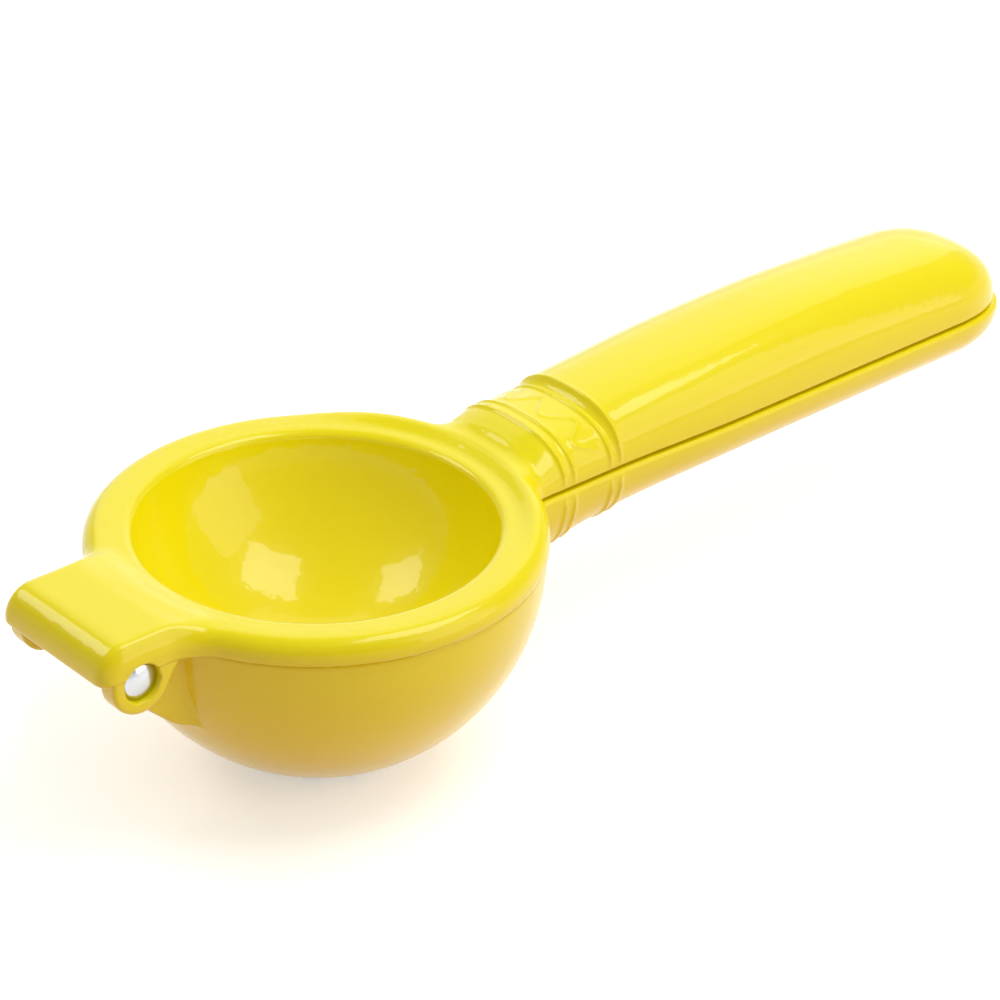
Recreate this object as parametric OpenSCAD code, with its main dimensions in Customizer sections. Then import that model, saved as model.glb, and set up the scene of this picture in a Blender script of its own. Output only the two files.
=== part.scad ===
// Hinged lemon squeezer: two die-cast arms on one steel pin.
// Lower arm: strainer bowl, hinge lug and lower half of the handle.
// Upper arm: press cup, hinge tongue with two ears and upper half of the handle.
// Frame: millimetres, +Z up, +X towards the end of the handle, XZ the plane of symmetry.
// The origin is the centre of the small flat under the bowl.

/* [Bowl] */
// Outer radius of the bowl
bowl_r = 39.5; // [36:0.5:44]
// Height of the straight rim above the middle of the bowl's ball
rim_h = 1.1; // [0.8:0.1:3]
// Wall thickness of the bowl
bowl_wall = 2.8; // [2:0.1:4]
// Radius of the rounded outer edge of the rim
rim_round = 0.8; // [0.4:0.1:1.2]
// Diameter of the flat that the bowl stands on
base_flat_d = 20; // [18:1:24]
// Thickness of the floor above that flat
floor_t = 2.4; // [1.6:0.1:4]
// Diameter of a drain hole
drain_d = 3.6; // [2.5:0.1:3.8]
// Distance from the bowl's axis to the first ring of drain holes
drain_pitch = 6.5; // [5.5:0.1:7]
// Number of drain holes in the first ring
drain_count = 6; // [4:1:6]

/* [Press cup] */
// Outer radius of the flange ring round the cup
ring_r = 40.2; // [37:0.1:45]
// Thickness of the flange ring
ring_t = 4.0; // [3.6:0.1:6]
// How far the cup's axis lies from the bowl's, towards the hinge
ring_shift = 0.4; // [0:0.1:1.5]
// Radius of the rounded top edge of the flange ring
ring_round = 3.0; // [1:0.1:3]
// Radius of the ball that forms the inside of the cup
cup_r = 32.5; // [30:0.5:33]
// Depth of the cup below the flange
cup_depth = 26; // [20:0.5:28]
// Wall thickness of the cup
cup_wall = 2.6; // [2:0.1:3]
// Radius of the rounded lip between the flange and the cup
lip_round = 1.5; // [0.5:0.1:2]
// Gap between the closed arms at the rim
part_gap = 0.3; // [0.2:0.1:0.6]

/* [Hinge] */
// Distance from the outside of the bowl to the hinge axis
pin_reach = 9.0; // [8.8:0.1:11]
// Depth of the hinge axis below the bowl's rim
pin_drop = 1.5; // [1.2:0.1:2]
// Radius of the pin's shank
pin_r = 2.0; // [1.5:0.1:2.4]
// Radial running clearance between the pin and the lug
pin_clear = 0.05; // [0.02:0.01:0.09]
// Radius of a pin head
head_r = 3.3; // [3:0.1:4]
// Height of the rim of a pin head
head_rim = 0.4; // [0.2:0.1:0.6]
// Height of the dome on a pin head
head_dome = 1.0; // [0.6:0.1:1.6]
// Depth of the recess that holds a pin head
recess_depth = 1.6; // [1:0.1:2]
// Radial clearance of a pin head in its recess
recess_clear = 0.25; // [0.1:0.05:0.4]
// Half of the width across the outside of the ears
ear_half = 15; // [13:0.5:17]
// Thickness of one ear
ear_t = 4; // [3.4:0.1:5]
// Radius of an ear's lobe round the pin
ear_r = 5.6; // [5.2:0.1:7]
// Radius of the fillet between an ear and the flange
ear_fillet = 4.5; // [2:0.5:6]
// Radius of the lug's barrel round the pin
barrel_r = 4.0; // [3.6:0.1:4.2]
// Clearance round the barrel and between the lug and the ears
lug_clear = 0.4; // [0.3:0.05:0.6]
// Slope of the lug's lower edge, in degrees below the horizontal
lug_slope = 43; // [38:1:48]
// Slope of that edge's last stretch, where it runs into the bowl
toe_slope = 18; // [10:1:25]
// Distance from the hinge axis to the start of that stretch
toe_reach = 10.6; // [9:0.1:11.5]
// Distance from the hinge axis to the front of the tongue
tongue_reach = 7.8; // [7.4:0.1:9]
// Thickness of the tongue's front wall
tongue_wall = 2.0; // [1.4:0.1:2.4]
// Radius of the roll at the tongue's front edge
tongue_round = 5.6; // [3:0.1:6]
// Radius of the rounded side edges of the tongue
tongue_edge = 2.6; // [1:0.1:3]
// How much higher the tongue's top is than the ring's
tongue_rise = 1.8; // [0.4:0.1:2]
// Distance from the hinge axis to where the tongue starts to slope down to the ring
slope_start = 7.0; // [5:0.5:9]
// Height of the pocket under the tongue's front above the hinge axis
pocket_rise = 2.6; // [2.2:0.1:2.8]
// Height of the tongue's front edge above the hinge axis
tongue_low = 1.3; // [0.8:0.1:1.6]
// Radius of the fillet between the tongue's side and the ring, seen from above
side_fillet = 5; // [2:0.5:8]

/* [Handle] */
// Length of the handle beyond the bowl
handle_l = 122.5; // [100:0.5:140]
// How far the lower half of the handle stands out beyond the upper
tail_step = 1.2; // [0.5:0.1:3]
// How much wider the lower half is on each side
side_step = 0.4; // [0:0.1:1]
// Half of the handle's width at the neck
neck_half = 14.1; // [12:0.1:16]
// Half of the handle's width at the grip
grip_half = 15.0; // [13:0.1:18]
// Height of the upper half at the neck, between the ribs
neck_h = 8.6; // [7:0.1:10]
// How much lower the neck is where it leaves the ring
neck_dip = 2.4; // [0.5:0.1:3.5]
// Height of the upper half just past the second double rib
grip_in_h = 10.4; // [9:0.1:11]
// Height of the upper half at the grip
grip_h = 13.4; // [11:0.1:15]
// Height of the upper half towards the tail, before it rounds off
tail_h = 10.4; // [7:0.1:12]
// Depth of the lower half at the grip
low_h = 10.1; // [9:0.1:13]
// Extra depth of the lower half where it leaves the bowl
low_flare = 5.8; // [2:0.1:7]
// Length of the rounded tail
tail_round = 18; // [14:1:26]
// Wall thickness of the hollow handle
handle_wall = 2.6; // [2:0.1:3.2]
// Distance from the outside of the bowl to the first double rib
rib_start = 6.0; // [5:0.5:8]
// Distance between the two double ribs
rib_gap = 11.0; // [9:0.5:16]
// Height of the ribs
rib_h = 0.4; // [0.2:0.1:0.6]
// Gap between the two halves of the closed handle
handle_gap = 0.6; // [0.3:0.1:1]
// Where the grip is highest, as a share of the handle's length
grip_share = 0.58; // [0.5:0.01:0.7]

/* [Hidden] */
$fn = 96;

bare_steel = [0.75, 0.75, 0.76];
enamel = [0.95, 0.86, 0.12];

// How far a cut reaches past a face, and a joined form into its neighbour
over = 1;

// Heights of the main planes
ball_z = sqrt(pow(bowl_r, 2) - pow(base_flat_d / 2, 2));
rim_z = ball_z + rim_h;
under_z = rim_z + part_gap;
top_z = under_z + ring_t;
pin_x = -bowl_r - pin_reach;
pin_z = rim_z - pin_drop;
bowl_in = bowl_r - bowl_wall;

// Press cup: centre of its ball and of the lip's rounding, seen in section
cup_z = top_z + cup_r - cup_depth;
lip_z = top_z - lip_round;
lip_x = sqrt(pow(cup_r + lip_round, 2) - pow(cup_z - lip_z, 2));
lip_foot_z = cup_z - (cup_z - lip_z) * cup_r / (cup_r + lip_round);

// Hinge
lug_half = ear_half - ear_t - lug_clear;
pocket_r = barrel_r + lug_clear;
front_x = pin_x - tongue_reach;
tongue_low_z = pin_z + tongue_low;
tongue_z = top_z + tongue_rise;
recess_y = ear_half - recess_depth;
root_x = -ring_shift - sqrt(pow(ring_r, 2) - pow(ear_half, 2)) + ring_round;

// Handle: how far its root reaches into the bowl and ring, and the lengths over
// which it rises from the dip, widens, steps up to the grip and flares below
neck_root = 6;
dip_start = 2;
widen_l = 30;
step_l = 3;
flare_l = 18;
fall_power = 1.5;
tail_x = bowl_r + handle_l;
low_tail_x = tail_x + tail_step;
grip_x = bowl_r + handle_l * grip_share;
neck_x = bowl_r - neck_root;
channel_x = bowl_r + handle_wall;
low_top_z = under_z - handle_gap;
rib_1 = bowl_r + rib_start;
rib_2 = rib_1 + rib_gap;

// Powers of the superellipses: cross-section, and tail from above and from the side
section_power = 2.5;
plan_power = 2.3;
side_power = 2.6;

// Steps round half a section, along the grip, and round the tail in degrees
section_steps = 20;
grip_steps = 9;
tail_turn = 9.6;
channel_turn = 17;

// Cross-section of the ribs: offsets along the handle and share of rib_h
rib_profile = [[-2.0, 0], [-1.5, 1], [-0.9, 1], [-0.4, 0], [0.4, 0], [0.9, 1], [1.5, 1], [2.0, 0]];
rib_half = 2;

function smooth(t) = let (u = max(0, min(1, t))) u * u * (3 - 2 * u);
function arch(t) = sin(90 * max(0, min(1, t)));

// Height of the ribs at x
function ribs(x) = rib_h * (lookup(x - rib_1, rib_profile) + lookup(x - rib_2, rib_profile));

// How far the tail has closed at x, as a share of the full width or height
function closing(x, end, inset, power) =
    let (t = max(0, (x - end + tail_round) / (tail_round - inset)))
    pow(max(0, 1 - pow(min(1, t), power)), 1 / power);

// Half width and height of the two halves of the handle, before the tail closes
function half_w(x) = neck_half + (grip_half - neck_half) * smooth((x - rib_2) / widen_l);
function upper_h(x) =
    neck_h - neck_dip * (1 - smooth((x - bowl_r + dip_start) / (rib_start + dip_start)))
    + (grip_in_h - neck_h) * smooth((x - rib_2) / step_l + 1 / 3)
    + (grip_h - grip_in_h) * arch((x - rib_2) / (grip_x - rib_2))
    - (grip_h - tail_h) * pow(max(0, (x - grip_x) / (tail_x - grip_x)), fall_power);
function lower_h(x) = low_h + low_flare * exp(-(x - bowl_r) / flare_l);

// One closed ring of points: half a superellipse on a straight base
function half_section(x, w, h, base, up) = [
    for (i = [0 : section_steps])
        let (a = 180 * i / section_steps, c = cos(a), s = sin(a))
        [x, w * sign(c) * pow(abs(c), 2 / section_power),
         base + up * h * pow(abs(s), 2 / section_power)]
];

// The first n of n equal steps from one x to another
function steps(from, to, n) = [for (k = [0 : n - 1]) from + (to - from) * k / n];

// Stations along the handle: neck, ribs, grip and rounded tail
function stations(end) = concat(
    steps(neck_x, rib_1 - rib_half, 4),
    [for (r = rib_profile) rib_1 + r[0]],
    [for (k = [1 : 3]) rib_1 + rib_half + (rib_gap - 2 * rib_half) * k / 4],
    [for (r = rib_profile) rib_2 + r[0]],
    [for (k = [1 : grip_steps - 1])
        rib_2 + rib_half + (end - tail_round - rib_2 - rib_half) * k / grip_steps],
    [for (a = [0 : tail_turn : 89]) end - tail_round + tail_round * sin(a)]
);
function channel_stations(end) = concat(
    steps(channel_x, end - tail_round, grip_steps),
    [for (a = [0 : channel_turn : 89]) end - tail_round + (tail_round - handle_wall) * sin(a)]
);

// Solid through equal rings of points, one ring after the other along +X;
// turn is false where the rings run the other way round
module loft(rings, turn) {
    n = len(rings[0]);
    m = len(rings);
    points = [for (ring = rings) for (p = ring) p];
    sides = [
        for (j = [0 : m - 2]) for (i = [0 : n - 1])
            let (a = j * n + i, b = j * n + (i + 1) % n, c = a + n, d = b + n)
            each (turn ? [[d, b, a], [c, d, a]] : [[a, b, d], [a, d, c]])
    ];
    front = [for (i = [0 : n - 1]) turn ? i : n - 1 - i];
    back = [for (i = [0 : n - 1]) (m - 1) * n + (turn ? n - 1 - i : i)];
    polyhedron(points, concat(sides, [front, back]), convexity = 4);
}

module upper_handle() {
    loft([
        for (x = stations(tail_x))
            half_section(x, (half_w(x) + ribs(x)) * closing(x, tail_x, 0, plan_power),
                         (upper_h(x) + ribs(x)) * closing(x, tail_x, 0, side_power), under_z, 1)
    ], true);
}

module upper_channel() {
    loft([
        for (x = channel_stations(tail_x))
            half_section(x, (half_w(x) - handle_wall) * closing(x, tail_x, handle_wall, plan_power),
                         (upper_h(x) - handle_wall) * closing(x, tail_x, handle_wall, side_power) + over,
                         under_z - over, 1)
    ], true);
}

module lower_handle() {
    loft([
        for (x = stations(low_tail_x))
            half_section(x, (half_w(x) + side_step + ribs(x)) * closing(x, low_tail_x, 0, plan_power),
                         (lower_h(x) + ribs(x)) * closing(x, low_tail_x, 0, side_power), low_top_z, -1)
    ], false);
}

module lower_channel() {
    loft([
        for (x = channel_stations(low_tail_x))
            half_section(x, (half_w(x) - handle_wall) * closing(x, low_tail_x, handle_wall, plan_power),
                         (lower_h(x) - handle_wall) * closing(x, low_tail_x, handle_wall, side_power) + over,
                         low_top_z + over, -1)
    ], false);
}

// Cylinder across the object, centred on the hinge axis
module across(r, half) {
    translate([pin_x, 0, pin_z]) rotate([90, 0, 0]) cylinder(r = r, h = 2 * half, center = true);
}

// Ball-shaped bowl with a straight rim, rounded at its outer edge
module bowl_outside() {
    rotate_extrude() translate([0, ball_z]) {
        intersection() {
            circle(bowl_r);
            translate([0, -ball_z]) square([bowl_r, ball_z]);
        }
        square([bowl_r - rim_round, rim_h]);
        square([bowl_r, rim_h - rim_round]);
        translate([bowl_r - rim_round, rim_h - rim_round]) circle(rim_round);
    }
}

module bowl_inside() {
    intersection() {
        union() {
            translate([0, 0, ball_z]) sphere(bowl_in);
            translate([0, 0, ball_z]) cylinder(r = bowl_in, h = rim_h + over);
        }
        translate([0, 0, floor_t]) cylinder(r = bowl_r, h = rim_z);
    }
}

// Two rings of drain holes; the second has twice as many, turned by half a step
module drain_holes() {
    for (ring = [1, 2]) for (i = [0 : ring * drain_count - 1])
        rotate([0, 0, 360 * (i + (ring - 1) / 2) / (ring * drain_count)])
            translate([ring * drain_pitch, 0, -over]) cylinder(d = drain_d, h = ball_z / 2);
}

// Lug between the ears: a barrel round the pin on a web that runs down the bowl.
// The web's edge passes just inside the barrel, so that they cross and don't only touch.
module lug() {
    edge_r = barrel_r - 0.1;
    reach = pin_reach + 2 * bowl_wall;
    toe_z = -edge_r / cos(lug_slope) - toe_reach * tan(lug_slope);
    translate([pin_x, 0, pin_z]) rotate([90, 0, 0]) linear_extrude(2 * lug_half, center = true) {
        circle(barrel_r);
        polygon([
            [-edge_r * sin(lug_slope), -edge_r * cos(lug_slope)],
            [toe_reach, toe_z],
            [reach, toe_z - (reach - toe_reach) * tan(toe_slope)],
            [reach, pin_drop],
            [0, pin_drop],
            [0, 0]
        ]);
    }
}

module lower_arm() {
    color(enamel) difference() {
        union() {
            bowl_outside();
            lug();
            lower_handle();
        }
        bowl_inside();
        lower_channel();
        drain_holes();
        across(pin_r + pin_clear, ear_half);
    }
}

// Flange ring, cup and the dome under it, before the cup is hollowed out
module press_outside() {
    translate([-ring_shift, 0, 0]) rotate_extrude() {
        translate([0, under_z]) intersection() {
            union() {
                square([ring_r, ring_t - ring_round]);
                square([ring_r - ring_round, ring_t]);
                translate([ring_r - ring_round, ring_t - ring_round]) circle(ring_round);
            }
            square([ring_r, ring_t]);
        }
        intersection() {
            translate([0, cup_z]) circle(cup_r + cup_wall);
            square([ring_r, top_z]);
        }
    }
}

module cup_inside() {
    translate([-ring_shift, 0, 0]) rotate_extrude() {
        intersection() {
            translate([0, cup_z]) circle(cup_r);
            square([ring_r, top_z + over]);
        }
        difference() {
            translate([0, lip_foot_z]) square([lip_x, top_z + over - lip_foot_z]);
            translate([lip_x, lip_z]) circle(lip_round);
        }
    }
}

// Tongue over the hinge: a rolled front edge on a short upright foot, a top that slopes
// down until it has sunk into the ring's, and rounded side edges
module tongue() {
    sink = 0.1;
    foot = 0.2;
    roll = min(tongue_round, tongue_z - tongue_low_z - foot);
    intersection() {
        rotate([90, 0, 0]) linear_extrude(2 * ear_half, center = true) {
            polygon([
                [front_x + roll, under_z],
                [front_x + roll, tongue_z],
                [pin_x + slope_start, tongue_z],
                [root_x, top_z - sink],
                [root_x, under_z]
            ]);
            intersection() {
                translate([front_x + roll, tongue_z - roll]) circle(roll);
                translate([front_x, tongue_z - roll]) square([roll, roll]);
            }
            translate([front_x, tongue_low_z]) square([roll, tongue_z - roll - tongue_low_z]);
        }
        translate([front_x, 0, 0]) rotate([90, 0, 90]) linear_extrude(root_x - front_x) {
            translate([-ear_half, 0]) square([2 * ear_half, tongue_z - tongue_edge]);
            translate([tongue_edge - ear_half, 0]) square([2 * (ear_half - tongue_edge), tongue_z]);
            for (side = [-1, 1])
                translate([side * (ear_half - tongue_edge), tongue_z - tongue_edge]) circle(tongue_edge);
        }
    }
}

// Concave fillets in the corners between the tongue's sides and the ring, with the
// same rounded top edge. The cut reaches a little into the ring and the tongue, so that
// the faces cross and don't only touch.
module side_fillets() {
    cut_r = side_fillet + 0.05;
    fy = ear_half + side_fillet;
    fx = -ring_shift - sqrt(pow(ring_r + side_fillet, 2) - pow(fy, 2));
    share = ring_r / (ring_r + side_fillet);
    for (side = [0, 1]) mirror([0, side, 0]) translate([fx, fy, under_z]) difference() {
        linear_extrude(ring_t) polygon([
            [0, 0],
            [0, -side_fillet - over],
            [root_x - fx, -side_fillet - over],
            [(-ring_shift - fx) * (1 - share), -fy * (1 - share)]
        ]);
        translate([0, 0, -over]) cylinder(r = cut_r, h = ring_t + 2 * over);
        rotate_extrude() difference() {
            translate([cut_r - over, ring_t - ring_round]) square([ring_round + over, ring_round + over]);
            translate([cut_r + ring_round, ring_t - ring_round]) circle(ring_round);
        }
    }
}

// Two ears under the tongue, each a lobe round the pin with a fillet behind it
module ears() {
    for (side = [-1, 1]) translate([0, side * (ear_half - ear_t / 2), 0]) {
        rotate([90, 0, 0]) linear_extrude(ear_t, center = true) {
            intersection() {
                translate([pin_x, pin_z]) circle(ear_r);
                translate([pin_x - ear_r, pin_z - ear_r]) square([2 * ear_r, ear_r + under_z - pin_z]);
            }
            translate([pin_x - ear_r, pin_z]) square([2 * ear_r, under_z - pin_z]);
            difference() {
                translate([pin_x + ear_r - over, under_z - ear_fillet])
                    square([ear_fillet + over, ear_fillet]);
                translate([pin_x + ear_r + ear_fillet, under_z - ear_fillet]) circle(ear_fillet);
            }
        }
    }
}

// Room for the lug under the tongue
module lug_pocket() {
    inner = ear_half - ear_t;
    across(pocket_r, inner);
    translate([front_x + tongue_wall, -inner, tongue_low_z - over])
        cube([tongue_reach - tongue_wall, 2 * inner, pocket_rise - tongue_low + over]);
    translate([pin_x, -inner, pin_z]) cube([pocket_r, 2 * inner, under_z - pin_z]);
}

// Bore through both ears, and the recess for a pin head in each
module pin_seats() {
    across(pin_r, ear_half + over);
    for (side = [-1, 1]) translate([pin_x, side * recess_y, pin_z]) rotate([-90 * side, 0, 0])
        cylinder(r = head_r + recess_clear, h = recess_depth + over);
}

module upper_arm() {
    color(enamel) difference() {
        union() {
            press_outside();
            tongue();
            side_fillets();
            ears();
            difference() {
                upper_handle();
                translate([-ring_shift, 0, top_z - ring_round])
                    cylinder(r = ring_r - ring_round / 2, h = grip_h);
            }
        }
        cup_inside();
        upper_channel();
        lug_pocket();
        pin_seats();
    }
}

// Shank and two domed heads that sit in the ears' recesses
module hinge_pin() {
    dome_r = (pow(head_r, 2) + pow(head_dome, 2)) / (2 * head_dome);
    color(bare_steel) {
        across(pin_r, recess_y + head_rim);
        for (side = [-1, 1]) translate([pin_x, 0, pin_z]) rotate([-90 * side, 0, 0]) {
            translate([0, 0, recess_y]) cylinder(r = head_r, h = head_rim);
            intersection() {
                translate([0, 0, recess_y + head_rim + head_dome - dome_r]) sphere(dome_r);
                translate([0, 0, recess_y]) cylinder(r = head_r, h = head_rim + head_dome + over);
            }
        }
    }
}

lower_arm();
upper_arm();
hinge_pin();
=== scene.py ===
"""Looks of a hinged lemon squeezer: two enamelled castings on one steel rivet.

Each casting is one smooth skin round an implicit solid: a function that is negative
inside the metal. Planes, balls and lofts are joined and cut with true fillets, as in
a die casting, and the skin's points are then moved onto the surface itself.
Sizes are in millimetres in the part's frame, and meshes are made in metres.
"""

from __future__ import annotations

import logging
import math
from collections.abc import Callable, Sequence
from dataclasses import dataclass, field
from enum import Enum

import bpy
import numpy as np
from mathutils import Matrix, Vector

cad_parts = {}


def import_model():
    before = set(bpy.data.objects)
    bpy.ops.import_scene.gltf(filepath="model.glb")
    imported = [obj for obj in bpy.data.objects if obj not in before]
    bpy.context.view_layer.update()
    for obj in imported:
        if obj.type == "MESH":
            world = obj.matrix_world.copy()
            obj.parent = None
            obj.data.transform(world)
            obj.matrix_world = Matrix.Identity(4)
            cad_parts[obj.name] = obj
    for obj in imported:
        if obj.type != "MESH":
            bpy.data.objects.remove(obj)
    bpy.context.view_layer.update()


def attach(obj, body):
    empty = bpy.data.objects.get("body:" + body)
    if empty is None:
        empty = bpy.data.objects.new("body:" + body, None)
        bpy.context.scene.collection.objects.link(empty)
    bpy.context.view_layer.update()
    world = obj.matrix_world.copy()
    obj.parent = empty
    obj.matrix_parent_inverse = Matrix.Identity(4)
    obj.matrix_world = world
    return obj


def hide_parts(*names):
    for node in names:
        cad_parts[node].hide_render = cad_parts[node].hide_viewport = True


log = logging.getLogger("lemon_squeezer")

Array = np.ndarray
Solid = Callable[[Array, Array, Array], Array]

MM = 0.001
# Keeps a division from meeting zero
TINY = 1e-9
WHITE = (1.0, 1.0, 1.0, 1.0)


class Half(Enum):
    """The two halves of the handle, by the way each one bulges from the parting."""

    UPPER = 1.0
    LOWER = -1.0


class Slot(Enum):
    """Material slots of the record."""

    ENAMEL = "enamel"
    STEEL = "steel"


# ---------------------------------------------------------------- implicit solids


def union(a: Array, b: Array, radius: float) -> Array:
    """Join two solids with a concave fillet.

    Args:
        a: Distances to the first solid.
        b: Distances to the second solid.
        radius: Radius of the fillet.

    Returns:
        Distances to the joined solid.
    """
    return np.maximum(radius, np.minimum(a, b)) - np.hypot(
        np.maximum(radius - a, 0.0), np.maximum(radius - b, 0.0)
    )


def common(a: Array, b: Array, radius: float) -> Array:
    """Keep what two solids share, with the edge between them rounded.

    Args:
        a: Distances to the first solid.
        b: Distances to the second solid.
        radius: Radius of the rounded edge.

    Returns:
        Distances to the shared solid.
    """
    return np.minimum(-radius, np.maximum(a, b)) + np.hypot(
        np.maximum(radius + a, 0.0), np.maximum(radius + b, 0.0)
    )


def smooth(t: Array) -> Array:
    """Return an even step from 0 to 1 as t goes from 0 to 1."""
    u = np.clip(t, 0.0, 1.0)
    return u * u * (3.0 - 2.0 * u)


def graded(stops: Sequence[tuple[float, float]], end: float) -> Array:
    """Make grid lines whose spacing changes from one stretch to the next.

    Args:
        stops: Start of each stretch and the spacing in it.
        end: End of the last stretch.

    Returns:
        The grid lines in rising order.
    """
    coarser = 1.0
    ends = [start for start, _ in stops[1:]] + [end]
    lines = [
        np.linspace(start, stop, max(2, round((stop - start) / step / coarser)), endpoint=False)
        for (start, step), stop in zip(stops, ends)
    ]
    return np.concatenate([*lines, [end]])


@dataclass
class Skin:
    """Quad mesh round an implicit solid, on a grid that is finer where detail is."""

    solid: Solid
    xs: Array
    ys: Array
    zs: Array
    # Rounds in which the points move onto the surface, longest move in each, least
    # squared gradient that a move is divided by, and step of the gradient
    rounds: int = 4
    reach: float = 0.35
    flattest: float = 1e-6
    probe: float = 0.01
    # Number of grid planes that are worked out at a time
    slab: int = 24

    def values(self) -> Array:
        """Return the solid's distance at every grid point, one slab of x at a time.

        Returns:
            The distances, of shape (x, y, z).
        """
        out = np.empty((len(self.xs), len(self.ys), len(self.zs)))
        for i in range(0, len(self.xs), self.slab):
            grid = np.meshgrid(self.xs[i : i + self.slab], self.ys, self.zs, indexing="ij")
            out[i : i + self.slab] = self.solid(*grid)
        return out

    def gradient(self, points: Array) -> Array:
        """Return the gradient of the distance at some points.

        Args:
            points: Places of shape (n, 3).

        Returns:
            The gradients, of the same shape.
        """
        out = np.empty_like(points)
        for axis in range(3):
            step = np.zeros(3)
            step[axis] = self.probe
            ahead = self.solid(*(points + step).T)
            behind = self.solid(*(points - step).T)
            out[:, axis] = (ahead - behind) / (2.0 * self.probe)
        return out

    def crossings(self, values: Array, cells: Array) -> Array:
        """Average the places where the surface crosses each cell's edges.

        Args:
            values: Distances at the grid points.
            cells: Indices of the cells, of shape (n, 3).

        Returns:
            One point for each cell, of shape (n, 3).
        """
        corners = np.array([(i, j, k) for i in (0, 1) for j in (0, 1) for k in (0, 1)])
        at = cells[:, None, :] + corners[None]
        value = values[at[..., 0], at[..., 1], at[..., 2]]
        place = np.stack([self.xs[at[..., 0]], self.ys[at[..., 1]], self.zs[at[..., 2]]], axis=-1)
        total = np.zeros((len(cells), 3))
        count = np.zeros((len(cells), 1))
        for a in range(8):
            for b in range(a + 1, 8):
                if np.abs(corners[a] - corners[b]).sum() != 1:
                    continue
                crossed = (value[:, a] < 0.0) != (value[:, b] < 0.0)
                span = np.where(crossed, value[:, a] - value[:, b], 1.0)
                share = np.where(crossed, value[:, a] / span, 0.0)[:, None]
                point = place[:, a] * (1.0 - share) + place[:, b] * share
                total += np.where(crossed[:, None], point, 0.0)
                count += crossed[:, None]
        return total / count

    def quads(self, inside: Array, number: Array) -> Array:
        """List the quads, one for each grid edge that crosses the surface.

        Args:
            inside: Whether each grid point is in the metal.
            number: Vertex number of each cell, or -1.

        Returns:
            Vertex numbers of shape (n, 4), wound so that normals point out.
        """
        out = []
        for axis in range(3):
            first, second = (axis + 1) % 3, (axis + 2) % 3
            low = np.moveaxis(inside, (axis, first, second), (0, 1, 2))
            cell = np.moveaxis(number, (axis, first, second), (0, 1, 2))
            changed = low[:-1, 1:-1, 1:-1] != low[1:, 1:-1, 1:-1]
            i, j, k = np.nonzero(changed)
            around = ((0, 0), (1, 0), (1, 1), (0, 1))
            ring = np.stack([cell[i, j + dj, k + dk] for dj, dk in around], axis=1)
            outward = low[i, j + 1, k + 1]
            out.append(np.where(outward[:, None], ring, ring[:, ::-1]))
        return np.concatenate(out)

    def build(self, name: str) -> bpy.types.Object:
        """Make the mesh object.

        Args:
            name: Name of the object.

        Returns:
            The object, in metres, with normals taken from the solid itself.
        """
        values = self.values()
        inside = values < 0.0
        corner = sum(
            inside[i : i - 1 or None, j : j - 1 or None, k : k - 1 or None].astype(np.int8)
            for i in (0, 1)
            for j in (0, 1)
            for k in (0, 1)
        )
        cells = np.argwhere((corner > 0) & (corner < 8))
        number = np.full(corner.shape, -1, np.int64)
        number[tuple(cells.T)] = np.arange(len(cells))
        points = self.crossings(values, cells)
        for _ in range(self.rounds):
            slope = self.gradient(points)
            steep = np.maximum((slope**2).sum(axis=1), self.flattest)
            move = slope * (self.solid(*points.T) / steep)[:, None]
            length = np.linalg.norm(move, axis=1, keepdims=True)
            points -= move * np.minimum(1.0, self.reach / np.maximum(length, TINY))
        faces = self.quads(inside, number)
        normals = self.gradient(points)
        normals /= np.maximum(np.linalg.norm(normals, axis=1, keepdims=True), TINY)
        mesh = bpy.data.meshes.new(name)
        mesh.from_pydata((points * MM).tolist(), [], faces.tolist())
        mesh.shade_smooth()
        mesh.normals_split_custom_set_from_vertices(normals.tolist())
        mesh.validate()
        obj = bpy.data.objects.new(name, mesh)
        bpy.context.scene.collection.objects.link(obj)
        log.info("%s: %d points, %d faces", name, len(points), len(faces))
        return obj


# ------------------------------------------------------------------------- finishes


def linear(hex_colour: str) -> tuple[float, float, float, float]:
    """Turn an sRGB colour into linear values.

    Args:
        hex_colour: The colour, such as #f2d90f.

    Returns:
        Red, green, blue and full alpha.
    """
    parts = [int(hex_colour[i : i + 2], 16) / 255.0 for i in (1, 3, 5)]
    red, green, blue = (c / 12.92 if c <= 0.04045 else ((c + 0.055) / 1.055) ** 2.4 for c in parts)
    return (red, green, blue, 1.0)


def add_node(
    material: bpy.types.Material | bpy.types.World,
    kind: str,
    settings: dict[str, object] | None = None,
    inputs: dict[str | int, object] | None = None,
) -> bpy.types.Node:
    """Add a shader node.

    Args:
        material: Material or world whose tree gets the node.
        kind: Blender's type name of the node.
        settings: Attributes of the node.
        inputs: Values for its inputs, or sockets that are linked to them.

    Returns:
        The new node.
    """
    tree = material.node_tree
    node = tree.nodes.new(kind)
    for key, value in (settings or {}).items():
        setattr(node, key, value)
    for key, value in (inputs or {}).items():
        if isinstance(value, bpy.types.NodeSocket):
            tree.links.new(value, node.inputs[key])
        else:
            node.inputs[key].default_value = value
    return node


def blank(name: str, slot: Slot) -> bpy.types.Material:
    """Make a material with an empty node tree.

    Args:
        name: Name of the material.
        slot: The record's slot that it belongs to, noted on it.

    Returns:
        The material.
    """
    material = bpy.data.materials.new(name)
    material.use_nodes = True
    material.node_tree.nodes.clear()
    material["slot"] = slot.value
    return material


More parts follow.
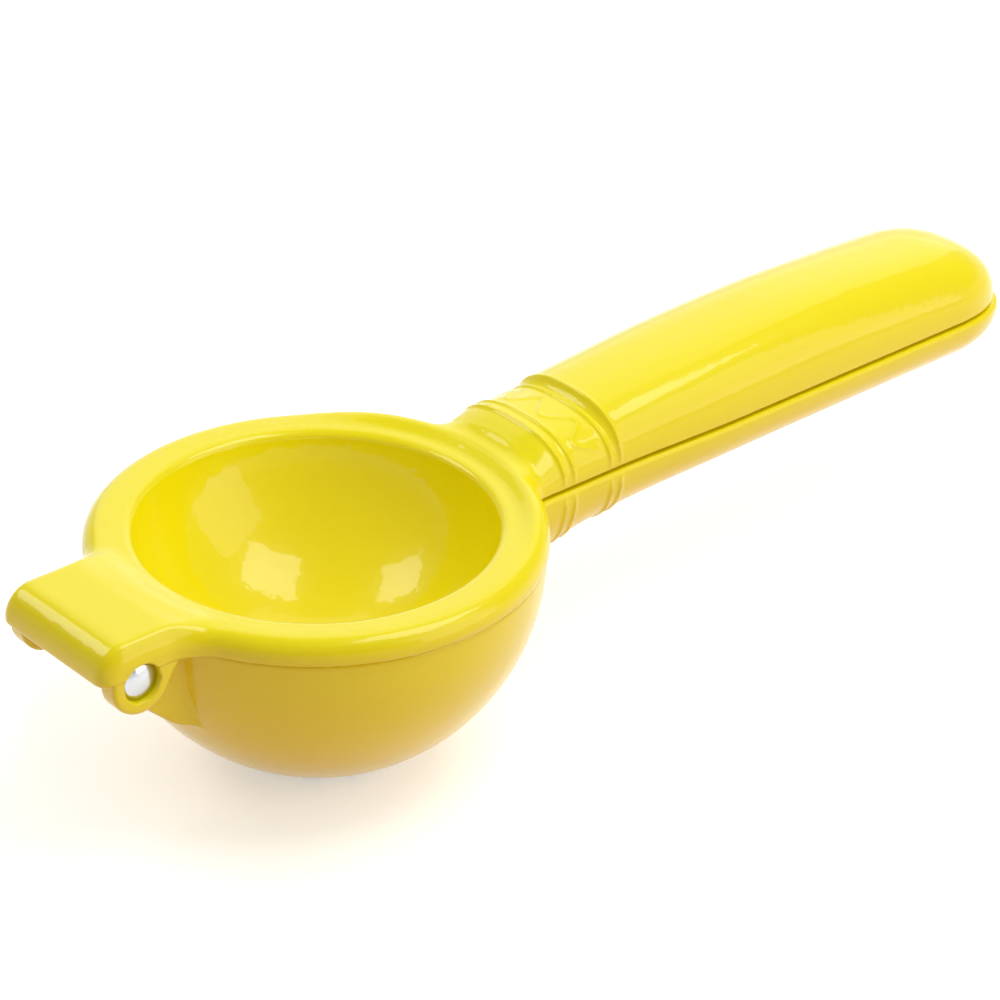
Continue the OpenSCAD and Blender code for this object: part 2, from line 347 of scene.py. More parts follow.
@dataclass(frozen=True)
class YellowEnamel:
    """Sprayed and baked glossy enamel on cast aluminium.

    The clear top of the enamel gives crisp reflections. Under it the spray leaves a
    slight orange peel, and the colour is a little deeper where the coat is thick.
    """

    colour: str = "#f6e700"
    deep: str = "#f4e000"
    roughness: float = 0.28
    specular: float = 0.2
    coat: float = 0.5
    coat_roughness: float = 0.04
    # Width of one cell of orange peel, about that of sprayed enamel
    peel_mm: float = 2.2
    peel_depth_mm: float = 0.06
    # Length over which the thickness of the coat drifts
    drift_mm: float = 30.0

    def material(self) -> bpy.types.Material:
        """Build the material.

        Returns:
            The material.
        """
        mat = blank("glossy_yellow_enamel", Slot.ENAMEL)
        place = add_node(mat, "ShaderNodeTexCoord")
        drift = add_node(
            mat,
            "ShaderNodeTexNoise",
            inputs={
                "Vector": place.outputs["Object"],
                "Scale": 1.0 / (self.drift_mm * MM),
                "Detail": 2.0,
            },
        )
        colour = add_node(
            mat,
            "ShaderNodeMix",
            settings={"data_type": "RGBA"},
            inputs={"Factor": drift.outputs["Fac"], 6: linear(self.colour), 7: linear(self.deep)},
        )
        peel = add_node(
            mat,
            "ShaderNodeTexNoise",
            inputs={
                "Vector": place.outputs["Object"],
                "Scale": 1.0 / (self.peel_mm * MM),
                "Detail": 1.0,
            },
        )
        bump = add_node(
            mat,
            "ShaderNodeBump",
            inputs={
                "Strength": 1.0,
                "Distance": self.peel_depth_mm * MM,
                "Height": peel.outputs["Fac"],
            },
        )
        shader = add_node(
            mat,
            "ShaderNodeBsdfPrincipled",
            inputs={
                "Base Color": colour.outputs[2],
                "Roughness": self.roughness,
                "IOR": 1.5,
                "Specular IOR Level": self.specular,
                "Coat Weight": self.coat,
                "Coat Roughness": self.coat_roughness,
                "Coat IOR": 1.5,
                "Normal": bump.outputs["Normal"],
                "Coat Normal": bump.outputs["Normal"],
            },
        )
        add_node(mat, "ShaderNodeOutputMaterial", inputs={"Surface": shader.outputs["BSDF"]})
        return mat


@dataclass(frozen=True)
class PolishedSteel:
    """Headed and polished steel rivet.

    Fine rings from turning stay on the domed heads and draw the highlight out a
    little round the axis. They are drawn coarser than real ones so that they show.
    """

    colour: str = "#cfd0d2"
    roughness_low: float = 0.10
    roughness_high: float = 0.20
    # Distance between two rings, and the size of the polish's cloudy patches
    ring_mm: float = 0.35
    patch_mm: float = 1.5
    ring_depth_mm: float = 0.002

    def material(self, axis: tuple[float, float]) -> bpy.types.Material:
        """Build the material.

        Args:
            axis: x and z of the rivet's axis, in millimetres.

        Returns:
            The material.
        """
        mat = blank("polished_steel", Slot.STEEL)
        place = add_node(mat, "ShaderNodeTexCoord")
        patches = add_node(
            mat,
            "ShaderNodeTexNoise",
            inputs={
                "Vector": place.outputs["Object"],
                "Scale": 1.0 / (self.patch_mm * MM),
                "Detail": 3.0,
            },
        )
        rough = add_node(
            mat,
            "ShaderNodeMapRange",
            inputs={
                "Value": patches.outputs["Fac"],
                "To Min": self.roughness_low,
                "To Max": self.roughness_high,
            },
        )
        centred = add_node(
            mat,
            "ShaderNodeVectorMath",
            settings={"operation": "SUBTRACT"},
            inputs={0: place.outputs["Object"], 1: (axis[0] * MM, 0.0, axis[1] * MM)},
        )
        flat = add_node(
            mat,
            "ShaderNodeVectorMath",
            settings={"operation": "MULTIPLY"},
            inputs={0: centred.outputs["Vector"], 1: (1.0, 0.0, 1.0)},
        )
        radius = add_node(
            mat,
            "ShaderNodeVectorMath",
            settings={"operation": "LENGTH"},
            inputs={0: flat.outputs["Vector"]},
        )
        phase = add_node(
            mat,
            "ShaderNodeMath",
            settings={"operation": "MULTIPLY"},
            inputs={0: radius.outputs["Value"], 1: 2.0 * math.pi / (self.ring_mm * MM)},
        )
        rings = add_node(
            mat,
            "ShaderNodeMath",
            settings={"operation": "SINE"},
            inputs={0: phase.outputs["Value"]},
        )
        bump = add_node(
            mat,
            "ShaderNodeBump",
            inputs={
                "Strength": 1.0,
                "Distance": self.ring_depth_mm * MM,
                "Height": rings.outputs["Value"],
            },
        )
        shader = add_node(
            mat,
            "ShaderNodeBsdfPrincipled",
            inputs={
                "Base Color": linear(self.colour),
                "Metallic": 1.0,
                "Roughness": rough.outputs["Result"],
                "Normal": bump.outputs["Normal"],
            },
        )
        add_node(mat, "ShaderNodeOutputMaterial", inputs={"Surface": shader.outputs["BSDF"]})
        return mat


# ------------------------------------------------------------------ the two castings


@dataclass(frozen=True)
class Hinge:
    """Sizes of the hinge that both castings and the rivet share."""

    # The axis, the rivet and its two heads, which sit in round recesses of the ears
    x: float = -48.5
    z: float = 37.813
    pin_r: float = 2.0
    pin_clear: float = 0.05
    head_r: float = 3.3
    head_rim: float = 0.4
    head_dome: float = 1.0
    recess_y: float = 13.4
    recess_r: float = 3.55
    # The tongue's ears, which reach from ear_in to ear_half on each side
    ear_half: float = 15.0
    ear_in: float = 11.0
    ear_r: float = 5.8
    # The lug's barrel between the ears, and the room that it turns in
    barrel_r: float = 4.0
    lug_half: float = 10.6
    pocket_r: float = 4.4
    pocket_rise: float = 2.6

    def away(self, x: Array, z: Array) -> Array:
        """Return the distance from the hinge axis."""
        return np.hypot(x - self.x, z - self.z)


@dataclass(frozen=True)
class Handle:
    """One half of the hollow handle: a lofted shell with double ribs at the neck."""

    half: Half
    parting_z: float
    tail_x: float
    # How much further out this half's sides stand than the other's
    side_step: float = 0.0
    bowl_r: float = 39.5
    root_x: float = 20.0
    wall: float = 2.6
    tail_round: float = 18.0
    neck_half: float = 14.1
    grip_half: float = 15.0
    widen_l: float = 30.0
    rib_1: float = 45.5
    rib_2: float = 56.5
    rib_h: float = 0.4
    rib_fade: float = 3.0
    # Distance of a ridge from the middle of its double rib, and its half width
    ridge_apart: float = 1.15
    ridge_half: float = 0.42
    # The wave between the ribs: swing, number of waves over the half, height and half
    # width of its ridge, mean radius of the neck, and the angles at which it fades out
    wave_swing: float = 2.1
    wave_count: float = 5.0
    wave_h: float = 0.22
    wave_half: float = 0.45
    wave_radius: float = 12.0
    wave_start: float = 0.45
    wave_fade: float = 0.25
    edge_round: float = 0.6
    # Powers of the rounded box that the section is, and of the tail's closing in plan
    section_power: float = 2.5
    tail_power: float = 2.45
    # Depth of the lower half: at the grip, extra at the bowl, and how fast that fades
    low_h: float = 10.1
    low_flare: float = 5.8
    flare_l: float = 18.0
    # Height of the upper half: at the neck, less a dip at the ring, then a step past the
    # ribs, a rise to the grip and a fall to the tail
    neck_h: float = 8.6
    dip_h: float = 2.4
    dip_start: float = 2.0
    dip_l: float = 8.0
    step_h: float = 1.8
    step_start: float = 1.0
    step_l: float = 3.0
    rise_h: float = 3.0
    grip_x: float = 110.55
    fall_h: float = 3.0
    fall_power: float = 1.5
    channel_round: float = 2.0

    def half_width(self, x: Array) -> Array:
        """Return half of the width along the handle, before the tail closes."""
        grown = (self.grip_half - self.neck_half) * smooth((x - self.rib_2) / self.widen_l)
        return self.neck_half + self.side_step + grown

    def height(self, x: Array) -> Array:
        """Return the height from the parting along the handle, before the tail closes.

        Args:
            x: Places along the handle.

        Returns:
            The heights.
        """
        if self.half is Half.LOWER:
            return self.low_h + self.low_flare * np.exp(-(x - self.bowl_r) / self.flare_l)
        dip = self.dip_h * (1.0 - smooth((x - self.bowl_r + self.dip_start) / self.dip_l))
        step = self.step_h * smooth((x - self.rib_2 + self.step_start) / self.step_l)
        climbed = np.clip((x - self.rib_2) / (self.grip_x - self.rib_2), 0.0, 1.0)
        fallen = np.clip((x - self.grip_x) / (self.tail_x - self.grip_x), 0.0, 1.0)
        rise = self.rise_h * np.sin(0.5 * math.pi * climbed)
        fall = self.fall_h * fallen**self.fall_power
        return self.neck_h - dip + step + rise - fall

    def shell(self, x: Array, y: Array, depth: Array, inset: float) -> Array:
        """Return the distance to the loft's outside, or to its inside at an inset.

        Args:
            x: Places along the handle.
            y: Places across it.
            depth: Distances from the parting plane, into this half.
            inset: How far the surface lies inside the outer one.

        Returns:
            The distances.
        """
        wide = self.half_width(x) - inset
        high = self.height(x) - inset
        tail = self.tail_round - inset
        u = np.abs(y) / wide
        v = np.maximum(depth, 0.0) / high
        t = np.clip((x - self.tail_x + self.tail_round) / tail, 0.0, None)
        n, p = self.section_power, self.tail_power
        s = (u**n + v**n) ** (1.0 / n) + TINY
        g = (s**p + t**p) ** (1.0 / p)
        along_s = (s / g) ** (p - 1.0)
        slope = np.hypot((u / s) ** (n - 1.0) / wide, (v / s) ** (n - 1.0) / high)
        return (g - 1.0) / np.hypot(along_s * slope, (t / g) ** (p - 1.0) / tail)

    def ribs(self, x: Array, depth: Array) -> Array:
        """Return the height of the double ribs, which fade out above the parting.

        Args:
            x: Places along the handle.
            depth: Distances from the parting plane, into this half.

        Returns:
            The heights over the plain neck.
        """
        total = np.zeros_like(x)
        for centre in (self.rib_1, self.rib_2):
            for ridge in (-self.ridge_apart, self.ridge_apart):
                total += np.exp(-(((x - centre - ridge) / self.ridge_half) ** 2))
        return self.rib_h * total * smooth(depth / self.rib_fade)

    def wave(self, x: Array, y: Array, depth: Array) -> Array:
        """Return the height of the plain wave that runs round the neck between the ribs.

        Args:
            x: Places along the handle.
            y: Places across it.
            depth: Distances from the parting plane, into this half.

        Returns:
            The heights over the plain neck.
        """
        angle = np.arctan2(depth / self.height(x), y / self.half_width(x))
        middle = 0.5 * (self.rib_1 + self.rib_2)
        phase = 2.0 * self.wave_count * angle
        place = middle + self.wave_swing * np.sin(phase)
        lean = self.wave_swing * 2.0 * self.wave_count * np.cos(phase) / self.wave_radius
        gap = (x - place) / np.hypot(1.0, lean)
        near_end = smooth((angle - self.wave_start) / self.wave_fade)
        far_end = smooth((math.pi - self.wave_start - angle) / self.wave_fade)
        return self.wave_h * np.exp(-((gap / self.wave_half) ** 2)) * near_end * far_end

    def outside(self, x: Array, y: Array, z: Array) -> Array:
        """Return the distance to the half's outer form, closed at the parting.

        Args:
            x: Places along x.
            y: Places along y.
            z: Places along z.

        Returns:
            The distances.
        """
        depth = (z - self.parting_z) * self.half.value
        body = self.shell(x, y, depth, 0.0) - self.ribs(x, depth)
        if self.half is Half.UPPER:
            body = body - self.wave(x, y, depth)
        return np.maximum(common(body, -depth, self.edge_round), self.root_x - x)

    def channel(self, x: Array, y: Array, z: Array) -> Array:
        """Return the distance to the hollow that is cut into the half.

        Args:
            x: Places along x.
            y: Places along y.
            z: Places along z.

        Returns:
            The distances.
        """
        depth = (z - self.parting_z) * self.half.value
        inner = self.shell(x, y, depth, self.wall + self.side_step)
        return common(inner, self.bowl_r + self.wall - x, self.channel_round)


@dataclass
class LowerArm:
    """Strainer bowl, hinge lug and lower half of the handle, cast in one."""

    hinge: Hinge = field(default_factory=Hinge)
    bowl_r: float = 39.5
    wall: float = 2.8
    # Heights of the ball's centre, over which the wall stands straight, and of the rim
    ball_z: float = 38.213
    rim_z: float = 39.313
    rim_round: float = 0.8
    floor_t: float = 2.4
    # Drain holes: radius, distance between their rings, and number in the inner ring
    drain_r: float = 1.8
    drain_pitch: float = 6.5
    drain_count: int = 6
    # The web from the barrel down to the bowl: slopes of its edge and of its toe, and how
    # far its edge and the whole web reach from the pin
    lug_slope: float = math.radians(43.0)
    toe_slope: float = math.radians(18.0)
    toe_reach: float = 10.6
    web_l: float = 14.6
    # Height up to which the drain holes are cut
    drain_top: float = 10.0
    # Fillets where the handle and the lug leave the bowl, and round the floor inside
    handle_fillet: float = 3.0
    lug_fillet: float = 1.0
    floor_fillet: float = 1.5
    # Rounded edges of the lug's sides, its toe and its top, of the flat that the bowl
    # stands on, of the mouth, of the handle's hollow and of a drain hole
    lug_edge: float = 0.6
    toe_edge: float = 1.5
    web_edge: float = 0.5
    flat_edge: float = 0.5
    mouth_edge: float = 0.8
    channel_edge: float = 0.5
    drain_edge: float = 0.3
    handle: Handle = field(
        default_factory=lambda: Handle(
            Half.LOWER, parting_z=39.013, tail_x=163.2, side_step=0.4, edge_round=0.9
        )
    )

    def drains(self, x: Array, y: Array, z: Array) -> Array:
        """Return the distance to two rings of drain holes through the bowl's floor.

        Args:
            x: Places along x.
            y: Places along y.
            z: Places along z.

        Returns:
            The distances.
        """
        radius, turn = np.hypot(x, y), np.arctan2(y, x)
        holes = []
        for ring in (1, 2):
            step = 2.0 * math.pi / (ring * self.drain_count)
            # The outer ring is turned by half a step
            folded = np.mod(turn + step * (0.5 if ring == 1 else 0.0), step) - 0.5 * step
            out = radius * np.cos(folded) - ring * self.drain_pitch
            holes.append(np.hypot(out, radius * np.sin(folded)))
        return np.maximum(np.minimum(*holes) - self.drain_r, z - self.drain_top)

    def lug(self, x: Array, y: Array, z: Array) -> Array:
        """Return the distance to the barrel round the pin and the web down the bowl.

        Args:
            x: Places along x.
            y: Places along y.
            z: Places along z.

        Returns:
            The distances.
        """
        h = self.hinge
        dx, dz = x - h.x, z - h.z
        edge = -dx * math.sin(self.lug_slope) - dz * math.cos(self.lug_slope) - h.barrel_r
        drop = h.barrel_r / math.cos(self.lug_slope) + self.toe_reach * math.tan(self.lug_slope)
        toe = -(dx - self.toe_reach) * math.sin(self.toe_slope)
        toe = toe - (dz + drop) * math.cos(self.toe_slope)
        web = common(common(edge, toe, self.toe_edge), z - self.rim_z, self.web_edge)
        web = np.maximum(web, np.abs(dx - 0.5 * self.web_l) - 0.5 * self.web_l)
        profile = np.minimum(h.away(x, z) - h.barrel_r, web)
        return common(np.abs(y) - h.lug_half, profile, self.lug_edge)

    def solid(self, x: Array, y: Array, z: Array) -> Array:
        """Return the distance to the whole lower arm.

        Args:
            x: Places along x.
            y: Places along y.
            z: Places along z.

        Returns:
            The distances.
        """
        radius = np.hypot(x, y)
        ball = np.hypot(radius, np.minimum(z - self.ball_z, 0.0))
        bowl = common(ball - self.bowl_r, z - self.rim_z, self.rim_round)
        arm = union(bowl, self.handle.outside(x, y, z), self.handle_fillet)
        arm = union(arm, self.lug(x, y, z), self.lug_fillet)
        arm = common(arm, -z, self.flat_edge)
        inside = common(ball - self.bowl_r + self.wall, self.floor_t - z, self.floor_fillet)
        arm = common(arm, -inside, self.mouth_edge)
        arm = common(arm, -self.handle.channel(x, y, z), self.channel_edge)
        arm = common(arm, -self.drains(x, y, z), self.drain_edge)
        return np.maximum(arm, self.hinge.pin_r + self.hinge.pin_clear - self.hinge.away(x, z))

    def build(self) -> bpy.types.Object:
        """Make the arm's skin.

        Returns:
            The arm, in metres.
        """
        # Finer at the lug, at the ribs, at the tail and where the parting is
        stops = [(-54.5, 0.5), (-35.0, 0.8), (42.0, 0.38), (60.0, 1.0), (140.0, 0.7)]
        return Skin(
            self.solid,
            xs=graded(stops, 164.4),
            ys=graded([(-41.0, 0.8), (-16.4, 0.55), (16.4, 0.8)], 41.0),
            zs=graded([(-1.0, 0.6), (4.0, 0.9), (36.0, 0.42)], 43.5),
        ).build("lower_casting")


@dataclass
class UpperArm:
    """Press cup with its flange, hinge tongue and upper half of the handle, cast in one."""

    hinge: Hinge = field(default_factory=Hinge)
    ring_r: float = 40.2
    # How far the ring and the cup lie from the bowl's axis, towards the hinge
    ring_shift: float = 0.4
    ring_round: float = 3.0
    under_z: float = 39.613
    top_z: float = 43.613
    # The tongue's rise over the ring: its height, the places along x where it starts and
    # where it is full, and the stretch across the tongue's side in which it fades out
    tongue_rise: float = 2.0
    rise_from: float = -31.0
    rise_full: float = -43.0
    rise_fade: float = 4.0
    # The ring's soft rise towards the neck: height, start, length, and the distance from
    # the cup's axis at which it begins
    shoulder_rise: float = 1.3
    shoulder_x: float = 19.0
    shoulder_l: float = 16.0
    shoulder_in: float = 34.0
    shoulder_wide: float = 4.0
    # The slight crown on the ring: its height, the radius of its middle and its half width
    crown: float = 0.22
    crown_r: float = 36.9
    crown_half: float = 3.6
    cup_r: float = 32.5
    cup_z: float = 50.113
    cup_wall: float = 2.6
    lip_round: float = 1.5
    front_x: float = -56.3
    front_round: float = 5.6
    front_wall: float = 2.0
    tongue_low_z: float = 39.113
    side_fillet: float = 5.0
    ear_fillet: float = 4.5
    ear_edge: float = 0.9
    # How far past the tongue's front the ears and their fillets reach, and how far the
    # tongue's plan reaches into the ring
    ear_reach: float = 19.0
    tongue_root: float = -10.0
    # Overlap of the skirt with the plate above it
    skirt_lap: float = 1.0
    # Distance of the dome's top below the ring's, and the fillet round the dome
    dome_drop: float = 1.0
    dome_fillet: float = 1.5
    # Rounded edges under the plate and round the pocket, at the foot of the front wall,
    # where the neck is cut, round the handle's hollow and round a rivet's recess
    under_edge: float = 0.35
    foot_edge: float = 0.5
    neck_edge: float = 2.0
    channel_edge: float = 0.5
    recess_edge: float = 0.3
    neck_cut_r: float = 39.0
    neck_blend: float = 2.4
    handle: Handle = field(
        default_factory=lambda: Handle(Half.UPPER, parting_z=39.613, tail_x=162.0)
    )

    def plate(self, x: Array, y: Array, z: Array, radius: Array) -> Array:
        """Return the distance to the flange ring and the tongue, one plate with a rolled front.

        Args:
            x: Places along x.
            y: Places along y.
            z: Places along z.
            radius: Distances from the cup's axis.

        Returns:
            The distances.
        """
        h = self.hinge
        tongue = np.maximum(np.abs(y) - h.ear_half, x - self.tongue_root)
        plan = union(radius - self.ring_r, tongue, self.side_fillet)
        bulge = np.clip(1.0 - ((radius - self.crown_r) / self.crown_half) ** 2, 0.0, 1.0) ** 2
        slope = smooth((self.rise_from - x) / (self.rise_from - self.rise_full))
        inward = h.ear_half + 0.5 * self.rise_fade - np.abs(y)
        rise = self.tongue_rise * slope * smooth(inward / self.rise_fade)
        outward = smooth((radius - self.shoulder_in) / self.shoulder_wide)
        shoulder = smooth((x - self.shoulder_x) / self.shoulder_l) * outward
        top = z - self.top_z - self.crown * bulge - rise - self.shoulder_rise * shoulder
        top = common(top, self.front_x - x, self.front_round)
        plate = common(plan, top, self.ring_round)
        return common(plate, self.under_z - z, self.under_edge)

    def skirt(self, x: Array, y: Array, z: Array) -> Array:
        """Return the distance to the two ears and the front wall under the tongue.

        Args:
            x: Places along x.
            y: Places along y.
            z: Places along z.

        Returns:
            The distances.
        """
        h = self.hinge
        upright = np.maximum(np.abs(x - h.x) - h.ear_r, h.z - z)
        lobe = np.minimum(h.away(x, z) - h.ear_r, upright)
        # Only the side towards the ring has a fillet under the plate
        profile = np.where(x < h.x, lobe, union(lobe, self.under_z - z, self.ear_fillet))
        profile = np.maximum(profile, x - self.front_x - self.ear_reach)
        ears = common(np.abs(y) - h.ear_half, profile, self.ear_edge)
        ears = np.maximum(ears, h.ear_in - np.abs(y))
        front = np.maximum(x - self.front_x - self.front_wall, self.tongue_low_z - z)
        front = common(np.abs(y) - h.ear_half, front, self.foot_edge)
        corner = common(np.abs(y) - h.ear_half, self.front_x - x, self.ring_round)
        low = common(np.minimum(ears, front), corner, self.foot_edge)
        rolled = common(z - self.top_z - self.tongue_rise, self.front_x - x, self.front_round)
        return np.maximum(np.maximum(low, rolled), z - self.under_z - self.skirt_lap)

    def pocket(self, x: Array, y: Array, z: Array) -> Array:
        """Return the distance to the room for the lug under the tongue.

        Args:
            x: Places along x.
            y: Places along y.
            z: Places along z.

        Returns:
            The distances.
        """
        h = self.hinge
        before = np.maximum(self.front_x + self.front_wall - x, x - h.x)
        before = np.maximum(before, z - h.z - h.pocket_rise)
        behind = np.maximum(np.maximum(h.x - x, x - h.x - h.pocket_r), z - self.under_z)
        room = np.minimum(np.minimum(h.away(x, z) - h.pocket_r, before), behind)
        return np.maximum(np.abs(y) - h.ear_in, room)

    def solid(self, x: Array, y: Array, z: Array) -> Array:
        """Return the distance to the whole upper arm.

        Args:
            x: Places along x.
            y: Places along y.
            z: Places along z.

        Returns:
            The distances.
        """
        h = self.hinge
        radius = np.hypot(x + self.ring_shift, y)
        ball = np.hypot(radius, z - self.cup_z)
        arm = np.minimum(self.plate(x, y, z, radius), self.skirt(x, y, z))
        neck = common(self.handle.outside(x, y, z), self.neck_cut_r - radius, self.neck_edge)
        arm = union(arm, neck, self.neck_blend)
        dome = np.maximum(ball - self.cup_r - self.cup_wall, z - self.top_z + self.dome_drop)
        arm = union(arm, dome, self.dome_fillet)
        arm = common(arm, self.cup_r - ball, self.lip_round)
        arm = common(arm, -self.handle.channel(x, y, z), self.channel_edge)
        arm = common(arm, -self.pocket(x, y, z), self.under_edge)
        away = h.away(x, z)
        recess = np.maximum(away - h.recess_r, h.recess_y - np.abs(y))
        arm = common(arm, -recess, self.recess_edge)
        return np.maximum(arm, h.pin_r - away)

    def build(self) -> bpy.types.Object:
        """Make the arm's skin.

        Returns:
            The arm, in metres.
        """
        # Finer at the tongue, at the ribs, at the tail and where the plate is
        stops = [(-58.0, 0.45), (-36.0, 0.8), (36.0, 0.5), (42.5, 0.36), (60.0, 1.0), (138.0, 0.7)]
        return Skin(
            self.solid,
            xs=graded(stops, 163.2),
            ys=graded([(-42.0, 0.8), (-16.4, 0.5), (16.4, 0.8)], 42.0),
            zs=graded([(14.8, 0.9), (31.0, 0.45), (46.5, 0.6)], 55.0),
        ).build("upper_casting")


@dataclass
class Rivet:
    """Steel rivet with a domed head at each end."""

    hinge: Hinge = field(default_factory=Hinge)
    turns: int = 128
    dome_steps: int = 16
    # The head's rounded edge, and the place of its middle as shares of that size
    edge: float = 0.18
    edge_in: float = 0.3
    edge_down: float = 0.1
    # Steeper turns than this stay crisp, in degrees
    crisp: float = 50.0

    def profile(self) -> list[tuple[float, float]]:
        """List radius and place along the axis, from the crown of one head to the other.

        Returns:
            The pairs, without the two crowns themselves.
        """
        h = self.hinge
        shoulder = h.recess_y + h.head_rim
        dome_r = (h.head_r**2 + h.head_dome**2) / (2.0 * h.head_dome)
        spread = math.asin((h.head_r - self.edge) / dome_r)
        crown = [
            (dome_r * math.sin(a), shoulder + h.head_dome - dome_r * (1.0 - math.cos(a)))
            for a in (spread * i / self.dome_steps for i in range(1, self.dome_steps + 1))
        ]
        rim = [
            (h.head_r - self.edge * self.edge_in, shoulder - self.edge * self.edge_down),
            (h.head_r, shoulder - self.edge),
            (h.head_r, h.recess_y + self.edge),
            (h.head_r - self.edge, h.recess_y),
            (h.pin_r, h.recess_y),
        ]
        head = [*crown, *rim]
        return [*head, *((r, -y) for r, y in reversed(head))]

    def build(self) -> bpy.types.Object:
        """Make the lathed mesh.

        Returns:
            The rivet, in metres.
        """
        h = self.hinge
        profile = self.profile()
        crown_y = h.recess_y + h.head_rim + h.head_dome
        points = [(h.x, crown_y, h.z), (h.x, -crown_y, h.z)]
        for radius, y in profile:
            for i in range(self.turns):
                a = 2.0 * math.pi * i / self.turns
                points.append((h.x + radius * math.cos(a), y, h.z + radius * math.sin(a)))
        faces = []
        for i in range(self.turns):
            j = (i + 1) % self.turns
            for ring in range(len(profile) - 1):
                low, high = 2 + ring * self.turns, 2 + (ring + 1) * self.turns
                faces.append((low + i, low + j, high + j, high + i))
            last = 2 + (len(profile) - 1) * self.turns
            faces.append((0, 2 + j, 2 + i))
            faces.append((1, last + i, last + j))
        mesh = bpy.data.meshes.new("rivet")
        mesh.from_pydata([tuple(c * MM for c in p) for p in points], [], faces)
        mesh.shade_smooth()
        mesh.set_sharp_from_angle(angle=math.radians(self.crisp))
        obj = bpy.data.objects.new("rivet", mesh)
        bpy.context.scene.collection.objects.link(obj)
        log.info("rivet: %d points, %d faces", len(points), len(faces))
        return obj


# --------------------------------------------------------------------------- studio


@dataclass(frozen=True)
class Softbox:
    """A square area light that looks at the squeezer."""

    name: str
    azimuth: float
    elevation: float
    distance: float
    size: float
    watts: float


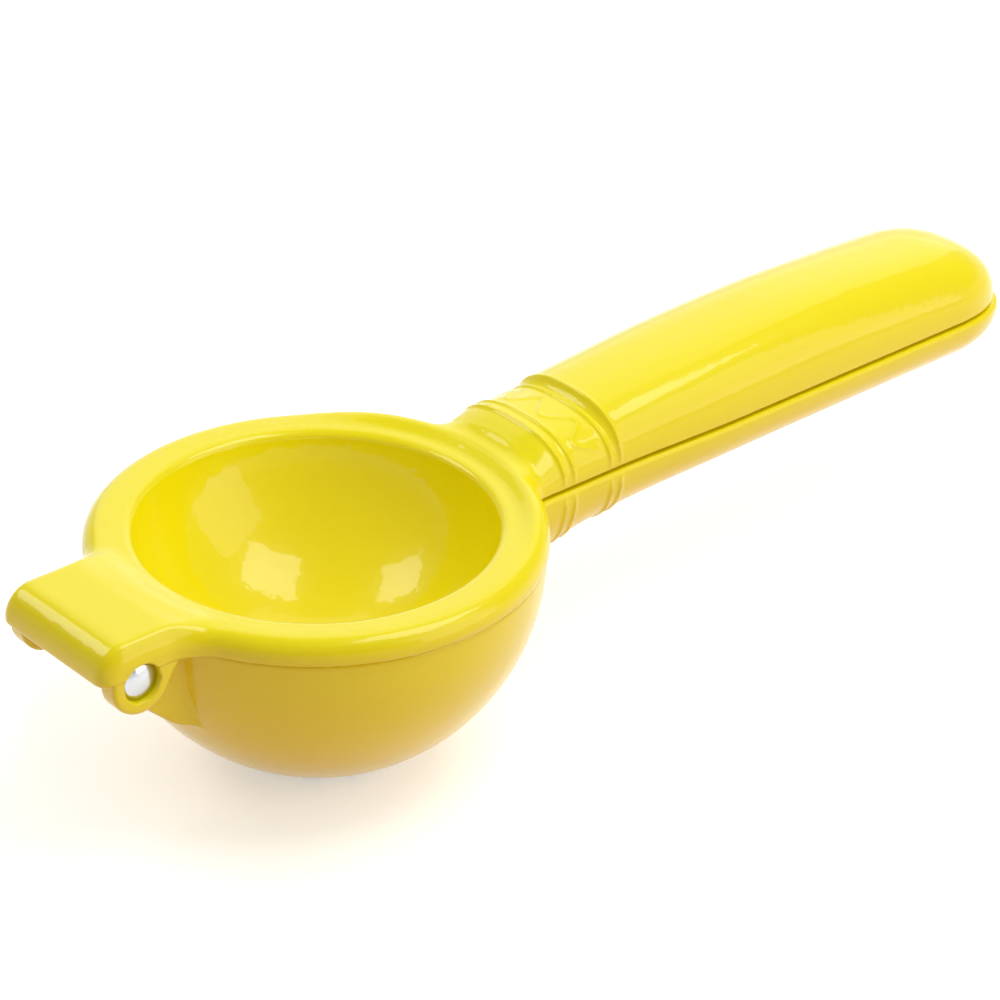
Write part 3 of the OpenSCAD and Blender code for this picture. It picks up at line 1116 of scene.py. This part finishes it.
@dataclass
class Studio:
    """White floor, pale surround, soft lights and the camera."""

    target: tuple[float, float, float] = (26.3, -17.3, 45.9)
    # Place from which the camera looks, and its roll, in degrees
    azimuth: float = -41.5
    elevation: float = 30.2
    roll: float = 1.0
    distance: float = 689.4
    lens: float = 144.0
    # Strength of the world's light, and the sines of the elevations between which the
    # white horizon fades into it
    sky: float = 0.36
    horizon_full: float = 0.12
    horizon_end: float = 0.30
    # Gap under the bowl's flat, so that the two faces don't lie in one plane
    under_gap: float = 0.05
    # The floor: half of its side in metres, its white, its glow, and the warmer tone in
    # which it lights the squeezer from below
    floor_half: float = 3.0
    paper: str = "#f4f4f2"
    glow: float = 0.45
    bounce: str = "#e6bd80"
    softboxes: tuple[Softbox, ...] = (
        Softbox("key", 50.0, 66.0, 0.8, 0.46, 2.8),
        Softbox("back", -150.0, 42.0, 0.8, 0.32, 1.2),
        Softbox("side", 30.0, 24.0, 0.9, 0.7, 2.3),
        Softbox("card", 140.0, 36.0, 0.9, 0.9, 2.2),
    )

    @staticmethod
    def direction(azimuth: float, elevation: float) -> Vector:
        """Return the unit vector from the squeezer towards a place given in degrees."""
        a, e = math.radians(azimuth), math.radians(elevation)
        return Vector((math.sin(a) * math.cos(e), -math.cos(a) * math.cos(e), math.sin(e)))

    def camera(self) -> None:
        """Make the camera at the photograph's angle."""
        back = self.direction(self.azimuth, self.elevation)
        right = Vector((0.0, 0.0, 1.0)).cross(back).normalized()
        up = back.cross(right)
        r = math.radians(self.roll)
        turned = right * math.cos(r) + up * math.sin(r)
        upward = up * math.cos(r) - right * math.sin(r)
        data = bpy.data.cameras.new("camera")
        data.lens = self.lens
        data.sensor_width = 36.0
        data.clip_start = 0.01
        obj = bpy.data.objects.new("camera", data)
        place = (Vector(self.target) + back * self.distance) * MM
        axes = Matrix((turned, upward, back)).transposed().to_4x4()
        obj.matrix_world = Matrix.Translation(place) @ axes
        bpy.context.scene.collection.objects.link(obj)
        bpy.context.scene.camera = obj

    def lights(self) -> None:
        """Make the softboxes."""
        for box in self.softboxes:
            data = bpy.data.lights.new(box.name, "AREA")
            data.size = box.size
            data.energy = box.watts
            obj = bpy.data.objects.new(box.name, data)
            back = self.direction(box.azimuth, box.elevation)
            obj.matrix_world = (
                Matrix.Translation(Vector(self.target) * MM + back * box.distance)
                @ back.to_track_quat("Z", "Y").to_matrix().to_4x4()
            )
            bpy.context.scene.collection.objects.link(obj)

    @staticmethod
    def looking(tree_owner: bpy.types.Material | bpy.types.World) -> bpy.types.NodeSocket:
        """Return a socket that is 1 for camera, glossy and transmission rays.

        Args:
            tree_owner: Material or world that asks.

        Returns:
            The socket, which is 0 for all other rays.
        """
        path = add_node(tree_owner, "ShaderNodeLightPath")
        either = add_node(
            tree_owner,
            "ShaderNodeMath",
            settings={"operation": "MAXIMUM"},
            inputs={0: path.outputs["Is Camera Ray"], 1: path.outputs["Is Glossy Ray"]},
        )
        any_of = add_node(
            tree_owner,
            "ShaderNodeMath",
            settings={"operation": "MAXIMUM"},
            inputs={0: either.outputs["Value"], 1: path.outputs["Is Transmission Ray"]},
        )
        return any_of.outputs["Value"]

    def world(self) -> None:
        """Make a soft pale surround, whose horizon is white to the camera and in reflections."""
        world = bpy.data.worlds.new("studio")
        world.use_nodes = True
        world.node_tree.nodes.clear()
        place = add_node(world, "ShaderNodeTexCoord")
        parts = add_node(
            world, "ShaderNodeSeparateXYZ", inputs={"Vector": place.outputs["Generated"]}
        )
        band = add_node(
            world,
            "ShaderNodeMapRange",
            inputs={
                "Value": parts.outputs["Z"],
                "From Min": self.horizon_full,
                "From Max": self.horizon_end,
                "To Min": 1.0,
                "To Max": self.sky,
            },
        )
        strength = add_node(
            world,
            "ShaderNodeMix",
            settings={"data_type": "FLOAT"},
            inputs={0: self.looking(world), 2: self.sky, 3: band.outputs["Result"]},
        )
        soft = add_node(
            world,
            "ShaderNodeBackground",
            inputs={"Color": WHITE, "Strength": strength.outputs[0]},
        )
        add_node(world, "ShaderNodeOutputWorld", inputs={"Surface": soft.outputs["Background"]})
        bpy.context.scene.world = world

    def floor(self) -> bpy.types.Object:
        """Make the white floor, which keeps a soft shadow.

        Returns:
            The floor.
        """
        mat = bpy.data.materials.new("white_floor")
        mat.use_nodes = True
        mat.node_tree.nodes.clear()
        paper = add_node(mat, "ShaderNodeBsdfDiffuse", inputs={"Color": linear(self.paper)})
        glow = add_node(mat, "ShaderNodeEmission", inputs={"Color": WHITE, "Strength": self.glow})
        white = add_node(
            mat,
            "ShaderNodeAddShader",
            inputs={0: paper.outputs["BSDF"], 1: glow.outputs["Emission"]},
        )
        bounce = add_node(mat, "ShaderNodeBsdfDiffuse", inputs={"Color": linear(self.bounce)})
        both = add_node(
            mat,
            "ShaderNodeMixShader",
            inputs={0: self.looking(mat), 1: bounce.outputs["BSDF"], 2: white.outputs["Shader"]},
        )
        add_node(mat, "ShaderNodeOutputMaterial", inputs={"Surface": both.outputs["Shader"]})
        mesh = bpy.data.meshes.new("floor")
        half, z = self.floor_half, -self.under_gap * MM
        corners = [(-half, -half, z), (half, -half, z), (half, half, z), (-half, half, z)]
        mesh.from_pydata(corners, [], [(0, 1, 2, 3)])
        mesh.materials.append(mat)
        obj = bpy.data.objects.new("floor", mesh)
        bpy.context.scene.collection.objects.link(obj)
        return obj

    def build(self) -> None:
        """Set the scene round the squeezer."""
        self.camera()
        self.lights()
        self.world()
        self.floor()
        bpy.context.scene.view_settings.view_transform = "Standard"


def dress(obj: bpy.types.Object, material: bpy.types.Material, body: str, node: str) -> None:
    """Dress a piece, put it on its body and let it stand for its solid.

    Args:
        obj: The piece.
        material: Its finish.
        body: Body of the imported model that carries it.
        node: Solid that the piece replaces.
    """
    obj.data.materials.append(material)
    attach(obj, body)
    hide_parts(node)
    log.info("%s rides on %s for %s", obj.name, body, node)


def main() -> None:
    """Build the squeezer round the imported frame."""
    logging.basicConfig(level=logging.INFO, format="%(name)s: %(message)s")
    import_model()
    hinge = Hinge()
    enamel = YellowEnamel().material()
    steel = PolishedSteel().material((hinge.x, hinge.z))
    dress(LowerArm(hinge).build(), enamel, "lower", "lower_arm")
    dress(UpperArm(hinge).build(), enamel, "upper", "upper_arm")
    dress(Rivet(hinge).build(), steel, "upper", "hinge_pin")
    Studio().build()


if __name__ == "__main__":
    main()
